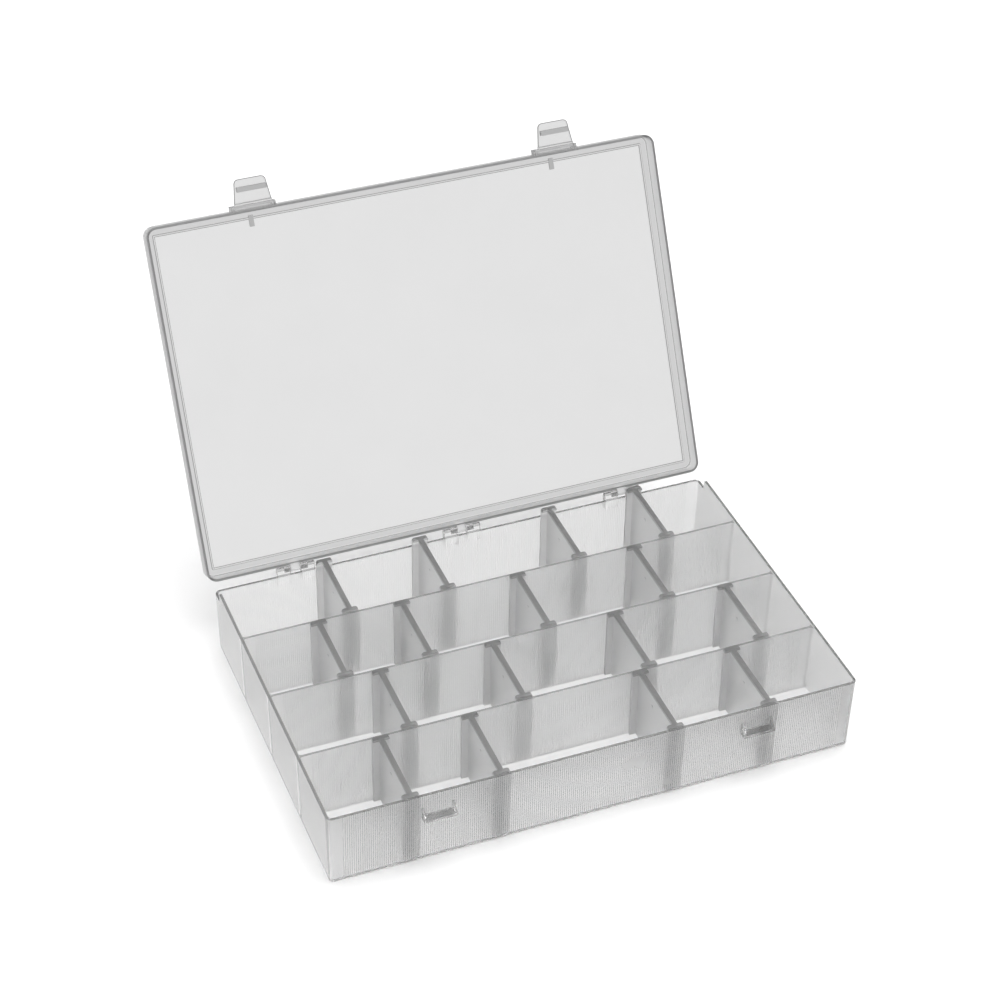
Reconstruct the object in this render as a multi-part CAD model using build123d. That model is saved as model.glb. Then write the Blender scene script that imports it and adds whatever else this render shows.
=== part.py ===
from build123d import *
import math
import os

# Compartment storage box of frosted polypropylene: a tray with four serrated rows, a skirted lid that swings
# on three snap hinges, two latch tabs on living hinges and sixteen loose dividers.
# Millimetres. X runs along the box, Y from front to rear, Z up. The origin is the centre of the tray's underside.
# The model is at rest as the box lies open: lid leaning back on its stop, latch tabs straight, dividers in place.

# Tray
tray_length = 329.0
tray_width = 219.8
rim_height = 50.4
rear_rim_height = 43.5
rear_rim_run = 11.3
rim_wall = 1.8
floor_thickness = 1.6
outer_draft = 1.05
inner_draft = 0.6
tray_corner_radius = 4.0
bottom_edge_radius = 1.4
rear_step_radius = 1.6
inner_corner_radius = 2.0

# Rows, partitions and their serrations
row_count = 4
partition_thickness = 1.5
partition_height = 49.3
tooth_pitch = 1.27
tooth_depth = 0.3
smooth_end = 6.5

# Dividers, four to a row, counted from the left; each place is a whole number of teeth from the middle
divider_height = 49.1
divider_clearance = 0.2
divider_seat_gap = 0.1
web_thickness = 1.9
flange_width = 10.2
flange_thickness = 1.7
flange_corner_radius = 1.8
flange_teeth = 7
divider_teeth_from_middle = (
    (-74, -24, 45, 92),
    (-91, -49, 11, 73),
    (-75, -19, 44, 102),
    (-90, -47, 38, 85),
)

# Lid, closed over the tray
lid_length = 333.4
lid_top = 55.6
lid_plate = 1.8
skirt_wall = 1.5
skirt_depth = 11.3
front_overhang = 2.1
rear_overhang = 0.1
lid_corner_radius = 6.5
lid_edge_radius = 1.5
bead_inset = 5.5
bead_width = 1.5
bead_height = 0.6
stop_rib_width = 3.0
stop_rib_length = 7.2
stop_rib_height = 1.3
stop_rib_inset = 4.3

# Hinges
hinge_places = (-110.8, 0.0, 110.8)
hinge_behind_wall = 2.7
hinge_height = 44.6
lid_open_angle = 116.6
pin_radius = 1.2
pin_clearance = 0.08
pin_reach = 4.2
arm_width = 6.0
arm_end_radius = 1.6
arm_rise = 6.0
arm_gap = 0.3
socket_width = 9.0
socket_radius = 2.3
socket_foot = 7.0
bore_end_gap = 0.4
snap_mouth = 1.9

# Latches and catches
latch_places = (-99.0, 99.0)
latch_tab_length = 15.0
latch_root_width = 23.6
latch_tip_width = 19.4
latch_tip_radius = 3.0
latch_thickness = 1.3
latch_reach = 4.4
latch_hinge_drop = 14.5
latch_gap = 0.3
bracket_width = 28.0
bracket_wall = 1.3
bracket_ear = 2.0
bracket_height = 8.0
hook_distance = 7.4
hook_length = 3.0
hook_height = 2.8
hook_width = 18.8
catch_width = 20.0
catch_reach = 5.3
catch_thickness = 1.9
catch_gap = 0.3
gusset_thickness = 1.8
gusset_height = 5.2

# Places that follow from the sizes above
row_pitch = (tray_width - 2 * rim_wall + partition_thickness) / row_count
row_depth = row_pitch - partition_thickness
inner_length = tray_length - 2 * rim_wall
lid_front = -tray_width / 2 - front_overhang
lid_rear = tray_width / 2 + rear_overhang
lid_width = lid_rear - lid_front
lid_middle = (lid_front + lid_rear) / 2
skirt_bottom = lid_top - skirt_depth
hinge_y = tray_width / 2 + hinge_behind_wall
hinge_gap = arm_width + 2 * arm_gap
latch_y = lid_front - latch_reach
latch_z = lid_top - latch_hinge_drop
catch_under = latch_z - hook_distance + catch_gap
lid_axis = Axis((0, hinge_y, hinge_height), (1, 0, 0))
latch_axis = Axis((0, latch_y, latch_z), (1, 0, 0))


def drafted_solid(low, high, low_z, high_z):
    """A closed solid between two outlines with matching corners, one above the other."""
    count = len(low)
    bottom = [Vector(x, y, low_z) for x, y in low]
    top = [Vector(x, y, high_z) for x, y in high]
    faces = [Face(Wire.make_polygon(bottom)), Face(Wire.make_polygon(top))]
    for i in range(count):
        j = (i + 1) % count
        faces.append(Face(Wire.make_polygon([bottom[i], bottom[j], top[j], top[i]])))
    return Solid(Shell(faces))


def inner_inset(z):
    """How far the drafted inner faces stand in from their place at the rim."""
    return inner_draft * (rim_height - z) / (rim_height - floor_thickness)


def serrated_edge(first, last, y, outward):
    """Corners of a serrated wall, from tooth number first to last, with grooves on whole tooth places."""
    points = [((first - 0.5) * tooth_pitch, y)]
    for tooth in range(first, last + 1):
        points.append((tooth * tooth_pitch, y + outward * tooth_depth))
        points.append(((tooth + 0.5) * tooth_pitch, y))
    return points


def row_outline(z):
    """One row's opening at a height, centred on the row: smooth end walls and serrated long walls."""
    half_length = inner_length / 2 - inner_inset(z)
    half_depth = row_depth / 2 - inner_inset(z)
    teeth = int((inner_length / 2 - smooth_end) / tooth_pitch)
    front = serrated_edge(-teeth, teeth, -half_depth, -1)
    rear = serrated_edge(-teeth, teeth, half_depth, 1)
    corners = [(half_length, -half_depth), (half_length, half_depth)]
    return (
        [(-half_length, -half_depth)] + front + corners + rear[::-1] + [(-half_length, half_depth)]
    )


def row_cavity(middle_y):
    """The space of one row, rounded in its four upright corners."""
    above_rim = rim_height + rim_wall
    cavity = drafted_solid(
        row_outline(floor_thickness), row_outline(above_rim), floor_thickness, above_rim
    )
    upright = [
        edge
        for edge in cavity.edges()
        if abs(edge.center().X) > inner_length / 2 - inner_draft
        and edge.bounding_box().size.Z > rim_height - floor_thickness
    ]
    return cavity.fillet(inner_corner_radius, upright).moved(Pos(0, middle_y, 0))


def partition_trim():
    """The space over the partitions, which are lower than the rim."""
    half_depth = row_pitch * (row_count - 1) / 2
    above_rim = rim_height + rim_wall

    def outline(z):
        half_length = inner_length / 2 - inner_inset(z)
        return [
            (-half_length, -half_depth),
            (half_length, -half_depth),
            (half_length, half_depth),
            (-half_length, half_depth),
        ]

    return drafted_solid(
        outline(partition_height), outline(above_rim), partition_height, above_rim
    )


def tray_body():
    """The outer block of the tray, with its draft, rounded bottom edge and lowered rear rim."""
    taper = math.degrees(math.atan(outer_draft / rim_height))
    base = RectangleRounded(
        tray_length - 2 * outer_draft,
        tray_width - 2 * outer_draft,
        tray_corner_radius - outer_draft,
    )
    body = extrude(base, amount=rim_height, taper=-taper)
    body = fillet(body.faces().sort_by(Axis.Z)[0].edges(), bottom_edge_radius)
    step_y = tray_width / 2 - rear_rim_run
    over = rim_height - rear_rim_height
    profile = Plane.YZ * Pos(step_y + tray_width / 2, rear_rim_height + tray_width / 2) * Rectangle(
        tray_width, tray_width
    )
    step = extrude(profile, amount=tray_length, both=True)
    lowered = body - step
    ends = [
        edge
        for edge in lowered.edges().filter_by(Axis.X)
        if abs(edge.center().Y - step_y) < rim_wall and edge.center().Z > rear_rim_height - over
    ]
    return fillet(ends, rear_step_radius)


def hinge_socket(side):
    """One snap socket: a foot on the rear wall and a barrel that is open above the pin."""
    inner = side * hinge_gap / 2
    middle = inner + side * socket_width / 2
    wall_y = tray_width / 2 - rim_wall / 2
    rear_y = hinge_y + socket_radius
    foot = Pos(middle, (wall_y + hinge_y) / 2, rear_rim_height - socket_foot / 2) * Box(
        socket_width, hinge_y - wall_y, socket_foot
    )
    barrel_foot = Plane.YZ * make_face(
        Polyline(
            (hinge_y, hinge_height),
            (hinge_y, rear_rim_height - socket_foot),
            (rear_y, hinge_height - socket_radius),
            (rear_y, hinge_height),
            close=True,
        )
    )
    barrel = Pos(middle, hinge_y, hinge_height) * Rot(0, 90, 0) * Cylinder(
        socket_radius, socket_width
    )
    outer = foot + barrel
    outer += extrude(barrel_foot.moved(Pos(middle, 0, 0)), amount=socket_width / 2, both=True)
    depth = pin_reach + bore_end_gap - arm_gap
    bore_middle = inner + side * depth / 2
    bore = Pos(bore_middle, hinge_y, hinge_height) * Rot(0, 90, 0) * Cylinder(
        pin_radius + pin_clearance, depth
    )
    mouth = Pos(bore_middle, hinge_y, hinge_height + socket_radius / 2) * Box(
        depth, snap_mouth, socket_radius
    )
    return outer - bore - mouth


def catch():
    """A ledge under two gussets on the front wall, which the latch's hook bar snaps under."""
    wall_y = -tray_width / 2 + rim_wall / 2
    front_y = -tray_width / 2 - catch_reach
    ledge = Pos(0, (wall_y + front_y) / 2, catch_under + catch_thickness / 2) * Box(
        catch_width, wall_y - front_y, catch_thickness
    )
    top = catch_under + catch_thickness
    side = Plane.YZ * make_face(
        Polyline(
            (wall_y, catch_under),
            (front_y, catch_under),
            (front_y, top),
            (-tray_width / 2, top + gusset_height),
            (wall_y, top + gusset_height),
            close=True,
        )
    )
    for end in (-1, 1):
        place = end * (catch_width - gusset_thickness) / 2
        ledge += extrude(side.moved(Pos(place, 0, 0)), amount=gusset_thickness / 2, both=True)
    return ledge


def tray():
    """The whole tray moulding."""
    body = tray_body()
    for place in latch_places:
        body += Pos(place, 0, 0) * catch()
    for place in hinge_places:
        for side in (-1, 1):
            body += Pos(place, 0, 0) * hinge_socket(side)
    for row in range(row_count):
        body -= row_cavity((row - (row_count - 1) / 2) * row_pitch)
    return body - partition_trim()


def divider_outline(z):
    """An I in plan, with ridges on both ends that drop into the wall's serrations."""
    end_y = row_depth / 2 - inner_inset(z) - divider_clearance
    neck_y = end_y - flange_thickness
    half_flange = flange_width / 2
    half_web = web_thickness / 2
    reach = flange_teeth // 2
    half = [(half_web, -neck_y), (half_web, neck_y), (half_flange, neck_y), (half_flange, end_y)]
    half += serrated_edge(-reach, reach, end_y, 1)[::-1]
    half += [(-half_flange, end_y), (-half_flange, neck_y), (-half_web, neck_y)]
    front = [(-half_web, -neck_y), (-half_flange, -neck_y), (-half_flange, -end_y)]
    front += serrated_edge(-reach, reach, -end_y, -1)
    front += [(half_flange, -end_y), (half_flange, -neck_y)]
    return half + front


def divider(row, place):
    """One loose divider standing on the floor of its row, its flanges rounded at the top corners."""
    bottom = floor_thickness + divider_seat_gap
    top = bottom + divider_height
    body = drafted_solid(divider_outline(bottom), divider_outline(top), bottom, top)
    arch = RectangleRounded(flange_width, 2 * divider_height, flange_corner_radius)
    arch = Plane.XZ * Pos(0, top - divider_height) * arch
    body = body & extrude(arch, amount=row_depth, both=True)
    middle_y = ((row_count - 1) / 2 - row) * row_pitch
    return body.moved(Pos(place * tooth_pitch, middle_y, 0))


def lid_shell():
    """The lid's plate and skirt, closed over the tray."""
    outline = RectangleRounded(lid_length, lid_width, lid_corner_radius)
    shell = extrude(Pos(0, lid_middle, skirt_bottom) * outline, amount=skirt_depth)
    shell = fillet(shell.faces().sort_by(Axis.Z)[-1].edges(), lid_edge_radius)
    room = RectangleRounded(
        lid_length - 2 * skirt_wall, lid_width - 2 * skirt_wall, lid_corner_radius - skirt_wall
    )
    return shell - extrude(Pos(0, lid_middle, skirt_bottom) * room, amount=skirt_depth - lid_plate)


def lid_bead():
    """The low square bead that runs round the underside of the plate."""
    outer = Rectangle(lid_length - 2 * bead_inset, lid_width - 2 * bead_inset)
    inner_inset_all = bead_inset + bead_width
    inner = Rectangle(lid_length - 2 * inner_inset_all, lid_width - 2 * inner_inset_all)
    ring = Pos(0, lid_middle, lid_top - lid_plate) * (outer - inner)
    return extrude(ring, amount=-bead_height)


def hinge_arm():
    """One arm from the rear skirt, with the cross pin that snaps into two sockets."""
    skirt_y = lid_rear - skirt_wall / 2
    side = Plane.YZ * make_face(
        Polyline(
            (skirt_y, skirt_bottom),
            (hinge_y, hinge_height - arm_end_radius),
            (hinge_y + arm_end_radius, hinge_height),
            (lid_rear, skirt_bottom + arm_rise),
            (skirt_y, skirt_bottom + arm_rise),
            close=True,
        )
    )
    arm = extrude(side, amount=arm_width / 2, both=True)
    eye = Pos(0, hinge_y, hinge_height) * Rot(0, 90, 0) * Cylinder(arm_end_radius, arm_width)
    pin = Pos(0, hinge_y, hinge_height) * Rot(0, 90, 0) * Cylinder(
        pin_radius, arm_width + 2 * pin_reach
    )
    return arm + eye + pin


def latch_bracket():
    """The hollow bracket on the front skirt that carries a latch tab's living hinge."""
    face_y = latch_y + latch_thickness / 2 + latch_gap
    inner_y = lid_front + skirt_wall / 2
    bottom = latch_z - latch_thickness / 2
    outer = Pos(0, (face_y + inner_y) / 2, bottom + bracket_height / 2) * Box(
        bracket_width, inner_y - face_y, bracket_height
    )
    pocket_depth = lid_front - face_y - bracket_wall
    pocket = Pos(
        0, lid_front - pocket_depth / 2, bottom + (bracket_height - bracket_wall) / 2
    ) * Box(bracket_width - 2 * bracket_ear, pocket_depth, bracket_height - bracket_wall)
    below_skirt = Pos(0, (lid_front + inner_y) / 2, (bottom + skirt_bottom) / 2) * Box(
        bracket_width, inner_y - lid_front, skirt_bottom - bottom
    )
    return outer - pocket - below_skirt


def stop_rib():
    """The short rib inside the lid behind each latch."""
    middle_y = lid_front + stop_rib_inset + stop_rib_length / 2
    return Pos(0, middle_y, lid_top - lid_plate - stop_rib_height / 2) * Box(
        stop_rib_width, stop_rib_length, stop_rib_height
    )


def lid():
    """The whole lid moulding, swung open to its rest place."""
    body = lid_shell() + lid_bead()
    for place in hinge_places:
        body += Pos(place, 0, 0) * hinge_arm()
    for place in latch_places:
        body += Pos(place, 0, 0) * latch_bracket()
        body += Pos(place, 0, 0) * stop_rib()
    return body.rotate(lid_axis, -lid_open_angle)


def latch(place):
    """One latch tab, straight out from the lid, with its hook bar and rounded hinge root."""
    tip_y = latch_y - latch_tab_length
    outline = make_face(
        Polyline(
            (-latch_root_width / 2, latch_y),
            (latch_root_width / 2, latch_y),
            (latch_tip_width / 2, tip_y),
            (-latch_tip_width / 2, tip_y),
            close=True,
        )
    )
    tip_corners = outline.vertices().sort_by(Axis.Y)[:2]
    outline = fillet(tip_corners, latch_tip_radius)
    tab = extrude(Pos(0, 0, latch_z) * outline, amount=latch_thickness / 2, both=True)
    root = Pos(0, latch_y, latch_z) * Rot(0, 90, 0) * Cylinder(latch_thickness / 2, latch_root_width)
    hook = Pos(
        0,
        latch_y - hook_distance - hook_length / 2,
        latch_z - latch_thickness / 2 - hook_height / 2,
    ) * Box(hook_width, hook_length, hook_height)
    return (Pos(place, 0, 0) * (tab + root + hook)).rotate(lid_axis, -lid_open_angle)


def write(shape, name):
    export_step(shape, os.path.join("parts", name + ".step"))


os.makedirs("parts", exist_ok=True)
write(tray(), "tray")
write(lid(), "lid")
write(latch(latch_places[0]), "latch_left")
write(latch(latch_places[1]), "latch_right")
for row, places in enumerate(divider_teeth_from_middle):
    for number, place in enumerate(places):
        write(divider(row, place), f"divider_r{row + 1}_{number + 1}")
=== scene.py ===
import bpy
import bmesh
import math
from mathutils import Matrix, Vector


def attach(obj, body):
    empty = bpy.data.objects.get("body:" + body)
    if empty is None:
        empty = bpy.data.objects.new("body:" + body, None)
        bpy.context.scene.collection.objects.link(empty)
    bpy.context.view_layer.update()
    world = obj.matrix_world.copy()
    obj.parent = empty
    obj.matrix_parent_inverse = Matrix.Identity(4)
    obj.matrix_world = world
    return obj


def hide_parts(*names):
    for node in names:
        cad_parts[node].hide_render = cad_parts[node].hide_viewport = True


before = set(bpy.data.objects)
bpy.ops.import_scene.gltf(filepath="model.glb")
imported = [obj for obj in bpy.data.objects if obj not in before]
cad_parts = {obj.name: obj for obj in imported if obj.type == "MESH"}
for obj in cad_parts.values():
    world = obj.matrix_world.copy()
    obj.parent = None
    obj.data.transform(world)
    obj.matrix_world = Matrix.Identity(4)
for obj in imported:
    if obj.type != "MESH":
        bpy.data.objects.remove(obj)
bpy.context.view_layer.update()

# The tray is one injection moulding of natural polypropylene: a floor, drafted walls and three partitions
# that make four rows, with the rear rim lowered for the lid. It is milky, and its edges, which look dark
# seen end on, take that dark as a painted shade.
tray_length = 0.3290
tray_width = 0.2198
rim_height = 0.0504
rear_rim_height = 0.0435
rear_rim_run = 0.0113
rear_step_radius = 0.0016
rim_wall = 0.0018
rim_softening = 0.0003
floor_thickness = 0.0016
outer_draft = 0.00105
inner_draft = 0.0006
tray_corner_radius = 0.0040
bottom_edge_radius = 0.0014
inner_corner_radius = 0.0020
floor_fillet = 0.0006
row_count = 4
partition_thickness = 0.0015
partition_height = 0.0493
row_pitch = (tray_width - 2 * rim_wall + partition_thickness) / row_count
row_depth = row_pitch - partition_thickness
row_length = tray_length - 2 * rim_wall
clear_of_rim = 0.0020
merge_distance = 1e-6
sharp_to_soften = math.radians(40)
crisp_corner = math.radians(32)


def milky_polypropylene(name, tint, painted_shade_tint, polish, frost, depth_loss, outer_face_shade=1.0):
    """Natural polypropylene: cloudy, smooth outside and frosted inside, with a faint mould grain, and a
    painted shade on the faces marked as seen end on.
    """
    material = bpy.data.materials.new(name)
    material.use_nodes = True
    nodes, links = material.node_tree.nodes, material.node_tree.links
    shader = nodes["Principled BSDF"]
    shader.inputs["IOR"].default_value = 1.4
    cloudy = tint * 0.98
    frosted_clearness = 0.80
    patchiness = 0.03
    place = nodes.new("ShaderNodeTexCoord")
    clouds = nodes.new("ShaderNodeTexNoise")
    clouds.inputs["Scale"].default_value = 25.0
    clouds.inputs["Detail"].default_value = 3.0
    links.new(place.outputs["Object"], clouds.inputs["Vector"])
    shades = nodes.new("ShaderNodeValToRGB")
    shades.color_ramp.elements[0].position = 0.3
    shades.color_ramp.elements[0].color = (cloudy, cloudy, cloudy, 1)
    shades.color_ramp.elements[1].position = 0.7
    shades.color_ramp.elements[1].color = (tint, tint, tint, 1)
    links.new(clouds.outputs["Fac"], shades.inputs["Fac"])
    frosted = nodes.new("ShaderNodeAttribute")
    frosted.attribute_name = "frosted"
    # Painted shade: the outer faces, which are not frosted, are darkened by a factor, so that the rows
    # inside show lighter than the outside.
    outside = nodes.new("ShaderNodeMapRange")
    outside.inputs["To Min"].default_value = outer_face_shade
    outside.inputs["To Max"].default_value = 1.0
    links.new(frosted.outputs["Fac"], outside.inputs["Value"])
    outer_faces_shaded = nodes.new("ShaderNodeVectorMath")
    outer_faces_shaded.operation = "SCALE"
    links.new(shades.outputs["Color"], outer_faces_shaded.inputs[0])
    links.new(outside.outputs["Result"], outer_faces_shaded.inputs["Scale"])
    # Painted shade: faces marked as seen end on take the darker tint given for them, standing in for how
    # real edges look dark end on.
    painted_end_shade = nodes.new("ShaderNodeAttribute")
    painted_end_shade.attribute_name = "painted_end_shade"
    shaded_ends = nodes.new("ShaderNodeMix")
    shaded_ends.data_type = "RGBA"
    links.new(painted_end_shade.outputs["Fac"], shaded_ends.inputs["Factor"])
    links.new(outer_faces_shaded.outputs["Vector"], shaded_ends.inputs["A"])
    shaded_ends.inputs["B"].default_value = (painted_shade_tint, painted_shade_tint, painted_shade_tint, 1)
    links.new(shaded_ends.outputs["Result"], shader.inputs["Base Color"])
    sheen = nodes.new("ShaderNodeMapRange")
    sheen.inputs["To Min"].default_value = polish
    sheen.inputs["To Max"].default_value = frost
    links.new(frosted.outputs["Fac"], sheen.inputs["Value"])
    clearness = nodes.new("ShaderNodeMapRange")
    clearness.inputs["To Min"].default_value = 1.0
    clearness.inputs["To Max"].default_value = frosted_clearness
    links.new(frosted.outputs["Fac"], clearness.inputs["Value"])
    links.new(clearness.outputs["Result"], shader.inputs["Transmission Weight"])
    patches = nodes.new("ShaderNodeMapRange")
    patches.inputs["To Min"].default_value = -patchiness
    patches.inputs["To Max"].default_value = patchiness
    links.new(clouds.outputs["Fac"], patches.inputs["Value"])
    roughness = nodes.new("ShaderNodeMath")
    links.new(sheen.outputs["Result"], roughness.inputs[0])
    links.new(patches.outputs["Result"], roughness.inputs[1])
    links.new(roughness.outputs[0], shader.inputs["Roughness"])
    grain = nodes.new("ShaderNodeTexNoise")
    grain.inputs["Scale"].default_value = 1800.0
    links.new(place.outputs["Object"], grain.inputs["Vector"])
    bump = nodes.new("ShaderNodeBump")
    bump.inputs["Strength"].default_value = 0.15
    bump.inputs["Distance"].default_value = 0.0001
    links.new(grain.outputs["Fac"], bump.inputs["Height"])
    links.new(bump.outputs["Normal"], shader.inputs["Normal"])
    depth = nodes.new("ShaderNodeVolumeAbsorption")
    depth.inputs["Color"].default_value = (0.5, 0.5, 0.5, 1)
    depth.inputs["Density"].default_value = depth_loss
    links.new(depth.outputs["Volume"], nodes["Material Output"].inputs["Volume"])
    return material


def rounded_ring(half_x, half_y, radius, z, middle_y=0.0, steps=6):
    """Points round a rectangle with rounded corners at one height, anticlockwise from above."""
    ring = []
    for corner, (side_x, side_y) in enumerate(((1, -1), (1, 1), (-1, 1), (-1, -1))):
        for step in range(steps + 1):
            angle = math.radians(90 * (corner - 1 + step / steps))
            x = side_x * (half_x - radius) + radius * math.cos(angle)
            y = side_y * (half_y - radius) + radius * math.sin(angle)
            ring.append((x, y + middle_y, z))
    return ring


def solid_between(name, rings):
    """A closed solid skinned over rings of matching points, with both ends capped."""
    count = len(rings[0])
    mesh = bmesh.new()
    corners = [[mesh.verts.new(point) for point in ring] for ring in rings]
    mesh.faces.new(corners[0][::-1])
    mesh.faces.new(corners[-1])
    for low, high in zip(corners, corners[1:]):
        for here in range(count):
            there = (here + 1) % count
            mesh.faces.new((low[here], low[there], high[there], high[here]))
    bmesh.ops.recalc_face_normals(mesh, faces=mesh.faces)
    shape = bpy.data.objects.new(name, bpy.data.meshes.new(name))
    mesh.to_mesh(shape.data)
    mesh.free()
    bpy.context.scene.collection.objects.link(shape)
    return shape


def bar(name, profile, left, right):
    """A straight bar along X with a side profile of Y and Z places."""
    return solid_between(name, [[(x, y, z) for y, z in profile] for x in (left, right)])


def arc(middle_y, middle_z, radius, first, last, steps):
    """Y and Z places along an arc, from one angle in degrees to another."""
    angles = [math.radians(first + (last - first) * step / steps) for step in range(steps + 1)]
    return [(middle_y + radius * math.cos(a), middle_z + radius * math.sin(a)) for a in angles]


def bake(shape):
    """Turns a shape's modifiers into its plain mesh."""
    evaluated = shape.evaluated_get(bpy.context.evaluated_depsgraph_get())
    mesh = bpy.data.meshes.new_from_object(evaluated)
    shape.modifiers.clear()
    shape.data = mesh
    mesh.name = shape.name
    return shape


def combine(base, operation, *others):
    """Fuses other solids with the base, cuts them from it or keeps what they share, and uses them up."""
    for other in others:
        step = base.modifiers.new("step", "BOOLEAN")
        step.operation = operation
        step.solver = "MANIFOLD"
        step.object = other
    bake(base)
    for other in others:
        bpy.data.objects.remove(other)
    return base


def soften(shape, width, segments=2):
    """Breaks the sharp edges as the mould does."""
    edges = shape.modifiers.new("edges", "BEVEL")
    edges.width = width
    edges.segments = segments
    edges.limit_method = "ANGLE"
    edges.angle_limit = sharp_to_soften
    return bake(shape)


def finish(shape, plastic, painted_end_shade, frosted, turn=None):
    """Smooths fillets, keeps corners crisp, marks the faces for painted shade and the frosted faces, and
    gives the plastic.
    """
    mesh = bmesh.new()
    mesh.from_mesh(shape.data)
    bmesh.ops.remove_doubles(mesh, verts=mesh.verts, dist=merge_distance)
    bmesh.ops.dissolve_degenerate(mesh, edges=mesh.edges, dist=merge_distance)
    loose = [edge for edge in mesh.edges if not edge.link_faces]
    bmesh.ops.delete(mesh, geom=loose, context="EDGES")
    bmesh.ops.recalc_face_normals(mesh, faces=mesh.faces)
    mesh.normal_update()
    bmesh.ops.triangulate(mesh, faces=mesh.faces)
    rules = {"painted_end_shade": painted_end_shade, "frosted": frosted}
    marks = [(mesh.faces.layers.float.new(name), rule) for name, rule in rules.items()]
    for face in mesh.faces:
        face.smooth = True
        face.material_index = 0
        for layer, rule in marks:
            face[layer] = float(rule(face.normal, face.calc_center_median()))
    for edge in mesh.edges:
        edge.smooth = edge.is_manifold and edge.calc_face_angle() < crisp_corner
    if turn is not None:
        mesh.transform(turn)
    shape.data.materials.clear()
    mesh.to_mesh(shape.data)
    mesh.free()
    shape.data.materials.append(plastic)
    shading = shape.modifiers.new("shading", "WEIGHTED_NORMAL")
    shading.keep_sharp = True
    return bake(shape)


def inner_inset(z):
    """How far the drafted inner faces stand in from their place at the rim."""
    return inner_draft * (rim_height - z) / (rim_height - floor_thickness)


def tray_ring(inset, z):
    """The tray's outline, drawn in by an inset, at a height."""
    half_x, half_y = tray_length / 2 - inset, tray_width / 2 - inset
    return rounded_ring(half_x, half_y, tray_corner_radius - inset, z)


tray_rings = []
for step in range(6):
    angle = math.radians(90 * step / 5)
    inset = outer_draft + bottom_edge_radius * (1 - math.sin(angle))
    tray_rings.append(tray_ring(inset, bottom_edge_radius * (1 - math.cos(angle))))
tray_rings.append(tray_ring(0.0, rim_height - rim_softening))
tray_rings.append(tray_ring(rim_softening, rim_height))
tray = solid_between("tray_body", tray_rings)

# The rear rim is lowered by a step with rounded corners.
step_y = tray_width / 2 - rear_rim_run
step_low_z, step_high_z = rear_rim_height + rear_step_radius, rim_height - rear_step_radius
above_rim = rim_height + clear_of_rim
step_side = arc(step_y + rear_step_radius, step_low_z, rear_step_radius, 270, 180, 5)
step_side += arc(step_y - rear_step_radius, step_high_z, rear_step_radius, 0, 90, 5)
step_side += [(step_y - rear_step_radius, above_rim), (tray_width, above_rim)]
step_side += [(tray_width, rear_rim_height)]
combine(tray, "DIFFERENCE", bar("rear_step", step_side, -tray_length, tray_length))

# Each hinge is a pair of snap sockets on the rear wall, moulded with the tray. A socket is a barrel on a
# foot, open above so that the lid's pin snaps down into it.
hinge_places = (-0.1108, 0.0, 0.1108)
hinge_y = tray_width / 2 + 0.0027
hinge_height = 0.0446
hinge_gap = 0.0066
socket_width = 0.0090
socket_radius = 0.0023
socket_foot = 0.0070
pin_reach = 0.0042
bore_radius = 0.00128
bore_depth = 0.0043
snap_mouth = 0.0019
bore_past_face = 0.0005
socket_softening = 0.0003


def hinge_socket(middle_x, side):
    """The outside of one socket: its foot on the wall and its barrel."""
    foot_bottom = rear_rim_height - socket_foot
    wall_y = tray_width / 2 - rim_wall / 2
    profile = [(wall_y, foot_bottom), (hinge_y, foot_bottom)]
    profile += [(hinge_y + socket_radius, hinge_height - socket_radius)]
    profile += arc(hinge_y, hinge_height, socket_radius, 0, 180, 16)
    profile += [(hinge_y - socket_radius, rear_rim_height), (wall_y, rear_rim_height)]
    inner = middle_x + side * hinge_gap / 2
    return soften(bar("socket", profile, inner, inner + side * socket_width), socket_softening)


def snap_bore(middle_x, side):
    """The space for a pin, open above."""
    lip = math.degrees(math.acos(snap_mouth / 2 / bore_radius))
    profile = arc(hinge_y, hinge_height, bore_radius, lip, -180 - lip, 20)
    top = hinge_height + socket_radius + clear_of_rim
    profile += [(hinge_y - snap_mouth / 2, top), (hinge_y + snap_mouth / 2, top)]
    inner = middle_x + side * hinge_gap / 2
    return bar("bore", profile, inner - side * bore_past_face, inner + side * bore_depth)


sockets = [hinge_socket(place, side) for place in hinge_places for side in (-1, 1)]
combine(tray, "UNION", *sockets)

# The two catches are ledges on the front wall, each held by a gusset at both ends. A latch's bar snaps
# under the ledge. They are moulded with the tray too.
latch_places = (-0.0990, 0.0990)
catch_under = 0.0340
catch_width = 0.0200
catch_reach = 0.0053
catch_thickness = 0.0019
gusset_thickness = 0.0018
gusset_height = 0.0052
catch_softening = 0.0002


def catch(place):
    """One ledge and its two gussets."""
    wall_y = -tray_width / 2 + rim_wall / 2
    front_y = -tray_width / 2 - catch_reach
    top = catch_under + catch_thickness
    left, right = place - catch_width / 2, place + catch_width / 2
    ledge_side = [(wall_y, catch_under), (wall_y, top), (front_y, top), (front_y, catch_under)]
    ledge = bar("catch", ledge_side, left, right)
    side = [(wall_y, catch_under), (front_y, catch_under), (front_y, top)]
    side += [(-tray_width / 2, top + gusset_height), (wall_y, top + gusset_height)]
    gussets = [bar("gusset", side, left, left + gusset_thickness)]
    gussets.append(bar("gusset", side, right - gusset_thickness, right))
    return soften(combine(ledge, "UNION", *gussets), catch_softening)


combine(tray, "UNION", *[catch(place) for place in latch_places])


def row_ring(extra, z, middle_y):
    """A row's outline at a height, drawn in by an extra inset."""
    inset = inner_inset(z) + extra
    radius = inner_corner_radius - extra
    return rounded_ring(row_length / 2 - inset, row_depth / 2 - inset, radius, z, middle_y)


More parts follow.
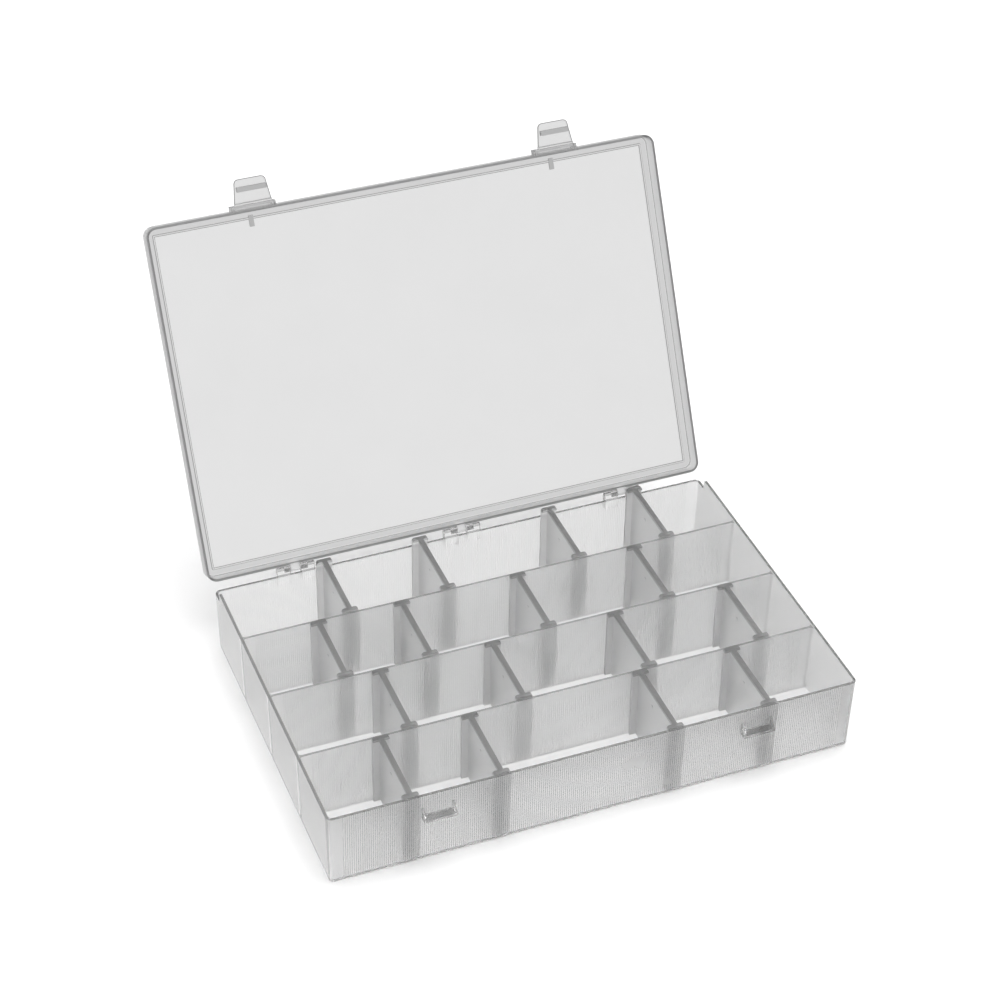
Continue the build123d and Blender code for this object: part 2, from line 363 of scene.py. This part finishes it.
def row_space(row):
    """The space of one row: a filleted floor, drafted sides and a slight flare at the rim."""
    middle_y = (row - (row_count - 1) / 2) * row_pitch
    rings = []
    for step in range(4):
        angle = math.radians(90 * step / 3)
        height = floor_thickness + floor_fillet * (1 - math.cos(angle))
        rings.append(row_ring(floor_fillet * (1 - math.sin(angle)), height, middle_y))
    rings.append(row_ring(0.0, rim_height - rim_softening, middle_y))
    rings.append(row_ring(-rim_softening, rim_height, middle_y))
    rings.append(row_ring(-rim_softening, above_rim, middle_y))
    return solid_between("row", rings)


combine(tray, "DIFFERENCE", *[row_space(row) for row in range(row_count)])
trim_x = row_length / 2 - inner_inset(partition_height)
trim_y = row_pitch * (row_count - 1) / 2
trim_radius = inner_corner_radius / 2
trim_rings = [rounded_ring(trim_x, trim_y, trim_radius, z) for z in (partition_height, above_rim)]
combine(tray, "DIFFERENCE", solid_between("partition_trim", trim_rings))
combine(tray, "DIFFERENCE", *[snap_bore(place, side) for place in hinge_places for side in (-1, 1)])

# Fine upright serrations, moulded with the tray, run along both long walls of every row and hold the
# dividers at any place. Each is a narrow groove that leans with the wall's draft.
serrations = bpy.data.node_groups.new("serrations", "GeometryNodeTree")
serration_inputs = {
    "Groove Pitch": 0.00127,
    "Groove Width": 0.00060,
    "Groove Depth": 0.00025,
    "Groove Point": 0.35,
    "Grooves": 245,
    "Wall From Middle": row_depth / 2,
    "Lean": inner_draft,
    "Groove Foot": floor_thickness + 0.0004,
    "Groove Top": above_rim,
    "Row Pitch": row_pitch,
    "Rows": row_count,
}
serrations.interface.new_socket("Geometry", in_out="INPUT", socket_type="NodeSocketGeometry")
serration_sockets = {}
for label, value in serration_inputs.items():
    kind = "NodeSocketInt" if isinstance(value, int) else "NodeSocketFloat"
    serration_sockets[label] = serrations.interface.new_socket(label, in_out="INPUT", socket_type=kind)
serration_sockets["Plastic"] = serrations.interface.new_socket(
    "Plastic", in_out="INPUT", socket_type="NodeSocketMaterial"
)
serrations.interface.new_socket("Geometry", in_out="OUTPUT", socket_type="NodeSocketGeometry")
given = serrations.nodes.new("NodeGroupInput").outputs


def groove_step(kind, **values):
    """Adds a node to the serrations and links or sets its inputs by name."""
    node = serrations.nodes.new(kind)
    for label, value in values.items():
        socket = node.inputs[int(label[1:]) if label.startswith("_") else label.replace("_", " ")]
        if isinstance(value, bpy.types.NodeSocket):
            serrations.links.new(value, socket)
        else:
            socket.default_value = value
    return node


def groove_sum(operation, first, second):
    """One step of arithmetic in the serrations."""
    node = groove_step("ShaderNodeMath", _0=first, _1=second)
    node.operation = operation
    return node.outputs[0]


# One groove starts as a block of side 1 about the origin and is then drawn out to its size. It starts a
# fifth of its depth inside the row, so that it cuts the wall's face cleanly.
start_inside = 0.2
groove_block = groove_step("GeometryNodeMeshCube", Size=(1.0, 1.0, 1.0))
corner_place = groove_step("GeometryNodeInputPosition").outputs[0]
corner = groove_step("ShaderNodeSeparateXYZ", _0=corner_place)
outward = groove_sum("ADD", corner.outputs["Y"], 0.5)
upward = groove_sum("ADD", corner.outputs["Z"], 0.5)
narrowing = groove_sum("SUBTRACT", 1.0, given["Groove Point"])
narrowed = groove_sum("SUBTRACT", 1.0, groove_sum("MULTIPLY", outward, narrowing))
across = groove_sum("MULTIPLY", corner.outputs["X"], given["Groove Width"])
groove_x = groove_sum("MULTIPLY", across, narrowed)
overlap = groove_sum("MULTIPLY", given["Groove Depth"], start_inside)
whole_depth = groove_sum("ADD", given["Groove Depth"], overlap)
cut_in = groove_sum("SUBTRACT", groove_sum("MULTIPLY", outward, whole_depth), overlap)
leant = groove_sum("MULTIPLY", groove_sum("SUBTRACT", 1.0, upward), given["Lean"])
groove_y = groove_sum("SUBTRACT", groove_sum("ADD", given["Wall From Middle"], cut_in), leant)
groove_length = groove_sum("SUBTRACT", given["Groove Top"], given["Groove Foot"])
groove_z = groove_sum("ADD", given["Groove Foot"], groove_sum("MULTIPLY", upward, groove_length))
drawn_out = groove_step("ShaderNodeCombineXYZ", X=groove_x, Y=groove_y, Z=groove_z)
groove = groove_step(
    "GeometryNodeSetPosition", Geometry=groove_block.outputs["Mesh"], Position=drawn_out.outputs[0]
)
half_run = groove_sum("MULTIPLY", groove_sum("SUBTRACT", given["Grooves"], 1.0), 0.5)
run_start = groove_sum("MULTIPLY", groove_sum("MULTIPLY", half_run, given["Groove Pitch"]), -1.0)
run = groove_step(
    "GeometryNodeMeshLine",
    Count=given["Grooves"],
    Start_Location=groove_step("ShaderNodeCombineXYZ", X=run_start).outputs[0],
    Offset=groove_step("ShaderNodeCombineXYZ", X=given["Groove Pitch"]).outputs[0],
)
rear_wall = groove_step("GeometryNodeInstanceOnPoints", Points=run.outputs[0], Instance=groove.outputs[0])
half_turn = (0.0, 0.0, math.pi)
front_wall = groove_step("GeometryNodeTransform", Geometry=rear_wall.outputs[0], Rotation=half_turn)
walls = groove_step("GeometryNodeJoinGeometry")
serrations.links.new(rear_wall.outputs[0], walls.inputs[0])
serrations.links.new(front_wall.outputs[0], walls.inputs[0])
half_rows = groove_sum("MULTIPLY", groove_sum("SUBTRACT", given["Rows"], 1.0), -0.5)
first_row = groove_sum("MULTIPLY", half_rows, given["Row Pitch"])
rows = groove_step(
    "GeometryNodeMeshLine",
    Count=given["Rows"],
    Start_Location=groove_step("ShaderNodeCombineXYZ", Y=first_row).outputs[0],
    Offset=groove_step("ShaderNodeCombineXYZ", Y=given["Row Pitch"]).outputs[0],
)
all_grooves = groove_step("GeometryNodeInstanceOnPoints", Points=rows.outputs[0], Instance=walls.outputs[0])
grooves = groove_step("GeometryNodeRealizeInstances", Geometry=all_grooves.outputs[0])
cut = groove_step("GeometryNodeMeshBoolean")
cut.operation = "DIFFERENCE"
cut.solver = "MANIFOLD"
serrations.links.new(given["Geometry"], cut.inputs[0])
serrations.links.new(grooves.outputs[0], cut.inputs[1])
plain = groove_step("GeometryNodeRealizeInstances", Geometry=cut.outputs[0])
coated = groove_step("GeometryNodeSetMaterial", Geometry=plain.outputs[0], Material=given["Plastic"])
tree_end = serrations.nodes.new("NodeGroupOutput")
serrations.links.new(coated.outputs[0], tree_end.inputs[0])

tray_plastic = milky_polypropylene(
    "tray_plastic", tint=0.99, painted_shade_tint=0.34, polish=0.26, frost=0.55, depth_loss=12.0, outer_face_shade=0.86
)
serrating = tray.modifiers.new("serrating", "NODES")
serrating.node_group = serrations
for label, value in serration_inputs.items():
    serrating[serration_sockets[label].identifier] = value
serrating[serration_sockets["Plastic"].identifier] = tray_plastic
bake(tray)


hair = 0.0001
tops_above = 0.0400
faces_it = 0.6


def rim_and_tops(normal, middle):
    """The faces along the top of walls, partitions and dividers."""
    return normal.z > faces_it and middle.z > tops_above


def tray_painted_shade(normal, middle):
    """Painted shade: full on the rim and the tops of the partitions, and less on the ledges and gussets of
    the catches.
    """
    if middle.y < -tray_width / 2 - hair and middle.z > catch_under - 3 * hair:
        return 0.15 if normal.y < -faces_it else 0.6
    return rim_and_tops(normal, middle)


def inside_tray(normal, middle):
    """The faces of the rows, serrations among them."""
    within_x = abs(middle.x) < row_length / 2 + rim_softening
    within_y = abs(middle.y) < tray_width / 2 - rim_wall + 2 * rim_softening
    return within_x and within_y and middle.z > floor_thickness / 2


finish(tray, tray_plastic, tray_painted_shade, inside_tray)
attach(tray, "tray")
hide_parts("tray")

# The sixteen dividers are loose plates of the same polypropylene, I-shaped in plan, with a thicker lip,
# rounded flange tops and the round mark of their moulding gate. Each stands in the serrations of its row
# and lifts out.
divider_height = 0.0491
divider_seat_gap = 0.0001
web_thickness = 0.0019
lip_height = 0.0020
lip_overhang = 0.0006
gate_radius = 0.0013
gate_proud = 0.0002
gate_depth = 0.0010
gate_below_top = 0.0112
gate_behind_middle = 0.0050
flange_width = 0.0102
flange_thickness = 0.0017
flange_corner_radius = 0.0018
divider_clearance = 0.0001
divider_softening = 0.00018
same_place = 1e-5
groove_pitch = serration_inputs["Groove Pitch"]
divider_places = (
    (-74, -24, 45, 92),
    (-91, -49, 11, 73),
    (-75, -19, 44, 102),
    (-90, -47, 38, 85),
)


def divider_ring(z, lip=0.0):
    """The I of a divider at a height, centred on its row; the lip widens it inwards along the top."""
    end_y = row_depth / 2 - inner_inset(z) - divider_clearance
    neck_y = end_y - flange_thickness - 2 * lip
    web = web_thickness / 2 + lip
    flange = flange_width / 2
    half = [(web, -neck_y), (web, neck_y), (flange, neck_y)]
    half += [(flange, end_y), (-flange, end_y), (-flange, neck_y)]
    return [(x, y, z) for x, y in half] + [(-x, -y, z) for x, y in half]


divider_plastic = milky_polypropylene(
    "divider_plastic", tint=0.99, painted_shade_tint=0.26, polish=0.40, frost=0.45, depth_loss=18.0
)
divider_foot = floor_thickness + divider_seat_gap
divider_top = divider_foot + divider_height
lip_foot = divider_top - lip_height
divider_rings = [divider_ring(divider_foot), divider_ring(lip_foot - lip_overhang)]
divider_rings += [divider_ring(lip_foot, lip_overhang), divider_ring(divider_top, lip_overhang)]
pattern = solid_between("divider", divider_rings)
mesh = bmesh.new()
mesh.from_mesh(pattern.data)
ends = []
for edge in mesh.edges:
    a, b = edge.verts[0].co, edge.verts[1].co
    on_top = min(a.z, b.z) > divider_top - same_place
    if on_top and abs(a.x - b.x) < merge_distance and abs(a.x) > flange_width / 2 - same_place:
        ends.append(edge)
bmesh.ops.bevel(
    mesh, geom=ends, offset=flange_corner_radius, segments=6, profile=0.5, affect="EDGES"
)
mesh.to_mesh(pattern.data)
mesh.free()
soften(pattern, divider_softening, 1)
bpy.ops.mesh.primitive_cylinder_add(vertices=20, radius=gate_radius, depth=gate_depth)
gate = bpy.context.object
gate.data.transform(Matrix.Rotation(math.radians(90), 4, "Y"))
gate_x = -web_thickness / 2 - gate_proud + gate_depth / 2
gate_z = divider_top - gate_below_top
gate.data.transform(Matrix.Translation((gate_x, gate_behind_middle, gate_z)))
combine(pattern, "UNION", gate)


def divider_painted_shade(normal, middle):
    """Painted shade: full on the lip of a divider, and faint on the flanges that press on the serrations.
    """
    if rim_and_tops(normal, middle):
        return 1.0
    if middle.z > lip_foot - same_place:
        return 0.7
    return 0.1 if abs(normal.y) > 0.9 else 0.0


finish(pattern, divider_plastic, divider_painted_shade, lambda normal, middle: True)
for row, places in enumerate(divider_places):
    for number, place in enumerate(places):
        node = f"divider_r{row + 1}_{number + 1}"
        divider = bpy.data.objects.new("plate_" + node, pattern.data.copy())
        middle_y = ((row_count - 1) / 2 - row) * row_pitch
        divider.data.transform(Matrix.Translation((place * groove_pitch, middle_y, 0)))
        bpy.context.scene.collection.objects.link(divider)
        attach(divider, node)
        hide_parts(node)
bpy.data.objects.remove(pattern)

# The lid is a second moulding of the same polypropylene: a flat plate with a skirt and a low square bead
# inside. It is made here closed over the tray and then swung open on its hinges.
lid_length = 0.3334
lid_top = 0.0556
lid_plate = 0.0018
skirt_wall = 0.0015
skirt_bottom = 0.0443
lid_front = -tray_width / 2 - 0.0021
lid_rear = tray_width / 2 + 0.0001
lid_middle = (lid_front + lid_rear) / 2
lid_corner_radius = 0.0065
lid_edge_radius = 0.0015
skirt_fillet = 0.0008
bead_inset = 0.0055
bead_width = 0.0015
bead_height = 0.0006
bead_slope = 0.0005
lid_open_angle = math.radians(116.6)
open_lid = (
    Matrix.Translation((0, hinge_y, hinge_height))
    @ Matrix.Rotation(-lid_open_angle, 4, "X")
    @ Matrix.Translation((0, -hinge_y, -hinge_height))
)


def lid_ring(inset, z, least_radius=0.0003):
    """The lid's outline, drawn in by an inset, at a height."""
    radius = max(lid_corner_radius - inset, least_radius)
    half_x, half_y = lid_length / 2 - inset, (lid_rear - lid_front) / 2 - inset
    return rounded_ring(half_x, half_y, radius, z, lid_middle)


under_plate = lid_top - lid_plate
lid_rings = [
    lid_ring(bead_inset + bead_width, under_plate),
    lid_ring(bead_inset + bead_width - bead_slope, under_plate - bead_height),
    lid_ring(bead_inset + bead_slope, under_plate - bead_height),
    lid_ring(bead_inset, under_plate),
]
for step in range(5):
    angle = math.radians(90 * step / 4)
    inset = skirt_wall + skirt_fillet * (1 - math.sin(angle))
    lid_rings.append(lid_ring(inset, under_plate - skirt_fillet * (1 - math.cos(angle))))
lid_rings.append(lid_ring(skirt_wall, skirt_bottom))
lid_rings.append(lid_ring(0.0, skirt_bottom))
for step in range(7):
    angle = math.radians(90 * step / 6)
    inset = lid_edge_radius * (1 - math.cos(angle))
    lid_rings.append(lid_ring(inset, lid_top - lid_edge_radius * (1 - math.sin(angle))))
lid = solid_between("lid_cover", lid_rings)

# Three arms on the lid's rear skirt end in cross pins that snap down into the tray's sockets. Arms and pins
# are moulded with the lid.
arm_width = 0.0060
arm_end_radius = 0.0016
arm_rise = 0.0060
arm_softening = 0.0002
pin_radius = 0.0012
pin_softening = 0.0003


def hinge_arm(place):
    """One arm, with its rounded end, and its pin."""
    skirt_y = lid_rear - skirt_wall / 2
    side = [(skirt_y, skirt_bottom)] + arc(hinge_y, hinge_height, arm_end_radius, -90, 39, 12)
    side += [(lid_rear, skirt_bottom + arm_rise), (skirt_y, skirt_bottom + arm_rise)]
    arm = soften(bar("arm", side, place - arm_width / 2, place + arm_width / 2), arm_softening)
    pin_half = arm_width / 2 + pin_reach
    round_pin = arc(hinge_y, hinge_height, pin_radius, 0, 350, 35)
    pin = soften(bar("pin", round_pin, place - pin_half, place + pin_half), pin_softening)
    return combine(arm, "UNION", pin)


combine(lid, "UNION", *[hinge_arm(place) for place in hinge_places])

# Each latch hangs on a hollow bracket at the lid's front, and behind it a short rib inside the lid stops
# the plate from bowing. All are moulded with the lid.
latch_y = lid_front - 0.0044
latch_z = lid_top - 0.0145
latch_thickness = 0.0013
latch_gap = 0.0003
bracket_width = 0.0280
bracket_wall = 0.0013
bracket_ear = 0.0020
bracket_height = 0.0080
bracket_softening = 0.0004
past_bracket = 0.0010
stop_rib_width = 0.0030
stop_rib_length = 0.0072
stop_rib_height = 0.0013
stop_rib_inset = 0.0043
into_plate = 0.0005


def block(name, left, right, front, rear, low, high):
    """A rectangular solid between six places."""
    return bar(name, [(front, low), (rear, low), (rear, high), (front, high)], left, right)


hollow_roof = latch_z - latch_thickness / 2 + bracket_height - bracket_wall


def latch_bracket(place):
    """One bracket, open towards the tray."""
    face_y = latch_y + latch_thickness / 2 + latch_gap
    inner_y = lid_front + skirt_wall / 2
    bottom = latch_z - latch_thickness / 2
    half = bracket_width / 2
    left, right = place - half, place + half
    outer = block("bracket", left, right, face_y, inner_y, bottom, bottom + bracket_height)
    soften(outer, bracket_softening, 3)
    hollow = half - bracket_ear
    front, low = face_y + bracket_wall, bottom - past_bracket
    pocket = block("pocket", place - hollow, place + hollow, front, lid_front, low, hollow_roof)
    below = block("below", left, right, lid_front, inner_y + past_bracket, low, skirt_bottom)
    return combine(outer, "DIFFERENCE", pocket, below)


def stop_rib(place):
    """One rib under the plate."""
    front = lid_front + stop_rib_inset
    half = stop_rib_width / 2
    low, high = under_plate - stop_rib_height, under_plate + into_plate
    rib = block("rib", place - half, place + half, front, front + stop_rib_length, low, high)
    return soften(rib, bracket_softening, 3)


for place in latch_places:
    combine(lid, "UNION", latch_bracket(place), stop_rib(place))


def lid_painted_shade(normal, middle):
    """Painted shade: full on the bead's sides, and less on the skirt's edge, the bead's margin, the ribs
    and the hollows.
    """
    under = under_plate - middle.z
    if abs(middle.z - skirt_bottom) < same_place:
        return 0.6
    if bead_height * 0.1 < under < bead_height * 0.9:
        return 1.0
    from_end = lid_length / 2 - abs(middle.x)
    from_side = (lid_rear - lid_front) / 2 - abs(middle.y - lid_middle)
    if abs(under) < same_place and min(from_end, from_side) < bead_inset:
        return 0.4
    in_hollow = middle.y < lid_front - same_place and abs(middle.z - hollow_roof) < same_place
    return 0.8 if bead_height * 1.1 < under < stop_rib_height * 1.1 else 0.5 * in_hollow


lid_plastic = milky_polypropylene(
    "lid_plastic", tint=0.89, painted_shade_tint=0.22, polish=0.30, frost=0.30, depth_loss=110.0
)
finish(lid, lid_plastic, lid_painted_shade, lambda normal, middle: False, open_lid)
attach(lid, "lid")
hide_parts("lid")

# The two latch tabs are thin flaps of the lid's polypropylene, on living hinges at its front edge. A bar
# across each snaps under its catch on the tray.
latch_tab_length = 0.0150
latch_root_width = 0.0236
latch_tip_width = 0.0194
latch_tip_radius = 0.0030
hook_distance = 0.0074
hook_length = 0.0030
hook_height = 0.0028
hook_width = 0.0188
root_gap = 0.00004
root_radius = latch_thickness / 2 + latch_gap - root_gap
root_softening = 0.0002
tab_softening = 0.0004
hook_softening = 0.0003
latch_under = latch_z - latch_thickness / 2
hook_rear = latch_y - hook_distance
flat_face = 0.95


def latch_outline():
    """X and Y places round a tab: a straight root and a tip with rounded corners."""
    tip_y = latch_y - latch_tab_length
    places = [(latch_root_width / 2, latch_y)]
    slant = math.degrees(math.atan2((latch_root_width - latch_tip_width) / 2, latch_tab_length))
    lean_in = latch_tip_radius * math.tan(math.radians(45 - slant / 2)) - latch_tip_radius
    corner_x = latch_tip_width / 2 - latch_tip_radius - lean_in
    for y, z in arc(0, 0, latch_tip_radius, -slant, -90, 7):
        places.append((corner_x + y, tip_y + latch_tip_radius + z))
    return places + [(-x, y) for x, y in reversed(places)]


def latch_painted_shade(normal, middle):
    """Painted shade on the tab's softened edges, and half as dark on its bar."""
    if middle.z < latch_under - same_place and middle.y < hook_rear + same_place:
        return 0.5
    return float(abs(normal.z) < flat_face and middle.y < latch_y - root_radius)


latch_plastic = milky_polypropylene(
    "latch_plastic", tint=0.88, painted_shade_tint=0.15, polish=0.40, frost=0.40, depth_loss=150.0
)
for name, place in (("left", latch_places[0]), ("right", latch_places[1])):
    faces = (latch_under, latch_z + latch_thickness / 2)
    tab_rings = [[(x + place, y, z) for x, y in latch_outline()] for z in faces]
    tab = soften(solid_between("latch_tab_" + name, tab_rings), tab_softening)
    round_root = arc(latch_y, latch_z, root_radius, 0, 345, 23)
    half_root, half_hook = latch_root_width / 2, hook_width / 2
    root = bar("root", round_root, place - half_root, place + half_root)
    hook_front, hook_low = hook_rear - hook_length, latch_under - hook_height
    hook = block("hook", place - half_hook, place + half_hook, hook_front, hook_rear, hook_low, latch_z)
    combine(tab, "UNION", soften(root, root_softening), soften(hook, hook_softening))
    finish(tab, latch_plastic, latch_painted_shade, lambda normal, middle: False, open_lid)
    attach(tab, "latch_" + name)
    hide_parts("latch_" + name)

# The box stands on a plain white sweep under soft studio light: a large lamp overhead, a weaker one from
# the left and a white room around it.
floor_half = 3.0
floor_level = -0.0003
floor_white = (0.9, 0.9, 0.9, 1)
floor_mesh = bpy.data.meshes.new("studio_floor")
sweep_sides = ((-1, -1), (1, -1), (1, 1), (-1, 1))
sweep_corners = [(x * floor_half, y * floor_half, floor_level) for x, y in sweep_sides]
floor_mesh.from_pydata(sweep_corners, [], [(0, 1, 2, 3)])
studio_floor = bpy.data.objects.new("studio_floor", floor_mesh)
bpy.context.scene.collection.objects.link(studio_floor)
floor_paint = bpy.data.materials.new("floor_paint")
floor_paint.use_nodes = True
floor_nodes, floor_links = floor_paint.node_tree.nodes, floor_paint.node_tree.links
floor_nodes["Principled BSDF"].inputs["Base Color"].default_value = floor_white
floor_nodes["Principled BSDF"].inputs["Roughness"].default_value = 0.9
white_glow = floor_nodes.new("ShaderNodeEmission")
ray = floor_nodes.new("ShaderNodeLightPath")
seen_white = floor_nodes.new("ShaderNodeMixShader")
mirrored_or_through = floor_nodes.new("ShaderNodeMath")
mirrored_or_through.operation = "MAXIMUM"
floor_links.new(ray.outputs["Is Glossy Ray"], mirrored_or_through.inputs[0])
floor_links.new(ray.outputs["Is Transmission Ray"], mirrored_or_through.inputs[1])
floor_links.new(mirrored_or_through.outputs[0], seen_white.inputs[0])
floor_links.new(floor_nodes["Principled BSDF"].outputs[0], seen_white.inputs[1])
floor_links.new(white_glow.outputs[0], seen_white.inputs[2])
floor_links.new(seen_white.outputs[0], floor_nodes["Material Output"].inputs["Surface"])
floor_mesh.materials.append(floor_paint)


def soft_lamp(name, place, aim, size, power):
    """A square studio lamp at a place, turned to its aim."""
    light = bpy.data.lights.new(name, "AREA")
    light.size = size
    light.energy = power
    lamp = bpy.data.objects.new(name, light)
    lamp.location = place
    lamp.rotation_euler = (Vector(aim) - Vector(place)).to_track_quat("-Z", "Y").to_euler()
    bpy.context.scene.collection.objects.link(lamp)
    return lamp


soft_lamp("overhead_lamp", place=(0.2, 0.1, 1.6), aim=(0, 0, 0), size=1.2, power=20)
soft_lamp("left_lamp", place=(-1.5, -0.6, 0.9), aim=(0, 0, 0.1), size=1.0, power=6)

# The white room gives the even light from all sides. Seen directly, in a reflection or through the plastic,
# it is plain white.
room_light = 0.8
room = bpy.data.worlds.new("white_room")
bpy.context.scene.world = room
room.use_nodes = True
room_nodes, room_links = room.node_tree.nodes, room.node_tree.links
room_nodes["Background"].inputs["Color"].default_value = (1, 1, 1, 1)
room_nodes["Background"].inputs["Strength"].default_value = room_light
bright_room = room_nodes.new("ShaderNodeBackground")
room_ray = room_nodes.new("ShaderNodeLightPath")
camera_or_gloss = room_nodes.new("ShaderNodeMath")
camera_or_gloss.operation = "MAXIMUM"
seen_directly = room_nodes.new("ShaderNodeMath")
seen_directly.operation = "MAXIMUM"
room_mix = room_nodes.new("ShaderNodeMixShader")
room_links.new(room_ray.outputs["Is Camera Ray"], camera_or_gloss.inputs[0])
room_links.new(room_ray.outputs["Is Glossy Ray"], camera_or_gloss.inputs[1])
room_links.new(camera_or_gloss.outputs[0], seen_directly.inputs[0])
room_links.new(room_ray.outputs["Is Transmission Ray"], seen_directly.inputs[1])
room_links.new(seen_directly.outputs[0], room_mix.inputs[0])
room_links.new(room_nodes["Background"].outputs[0], room_mix.inputs[1])
room_links.new(bright_room.outputs[0], room_mix.inputs[2])
room_links.new(room_mix.outputs[0], room_nodes["World Output"].inputs["Surface"])

# The camera looks down on the open box from its front left, at the photograph's angle, through a long lens
# that is shifted as the photograph is cropped.
camera_data = bpy.data.cameras.new("camera")
camera_data.sensor_width = 36.0
camera_data.lens = 92.68
camera_data.shift_x = 0.044
camera_data.shift_y = -0.048
camera_data.clip_end = 20.0
camera = bpy.data.objects.new("camera", camera_data)
camera.location = (-0.46393, -1.08108, 1.06345)
camera.rotation_euler = [math.radians(turn) for turn in (53.2126, -0.3612, -20.7894)]
bpy.context.scene.collection.objects.link(camera)
bpy.context.scene.camera = camera

bpy.context.scene.view_settings.view_transform = "Standard"
bpy.context.scene.cycles.max_bounces = 32
bpy.context.scene.cycles.transmission_bounces = 32
